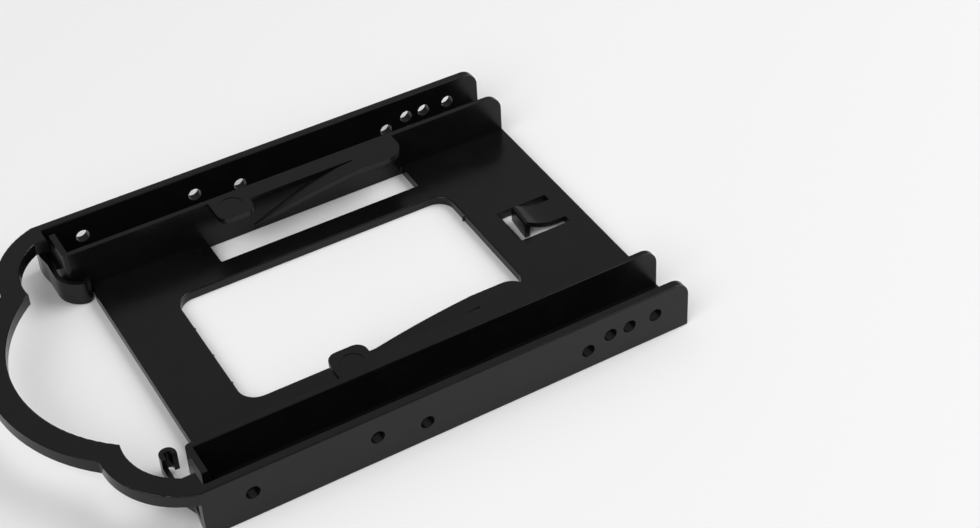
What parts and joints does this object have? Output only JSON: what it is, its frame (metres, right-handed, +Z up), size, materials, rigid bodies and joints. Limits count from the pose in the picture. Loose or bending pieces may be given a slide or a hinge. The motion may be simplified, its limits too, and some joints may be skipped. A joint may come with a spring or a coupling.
{
  "type": "drive bay adapter bracket",
  "caption": "Shallow moulded tray with a windowed floor, a cradle between two inner rails with spring arms, drilled outer rails and a lobed pull handle at its front.",
  "frame": {"origin": "centre of the bounding box's bottom, on the flat underside, under the middle of the whole length (handle to rear end) and of the width", "axes": "+X from the pull handle to the open rear end, +Y across to the rail with the curled spring strip, +Z up, from the underside to the open top"},
  "size_m": [0.1498, 0.1016, 0.0133],
  "materials": {
    "moulded_plastic": "smooth satin black, as moulded"
  },
  "bodies": {
    "root": {"bracket": "moulded_plastic"}
  },
  "joints": []
}
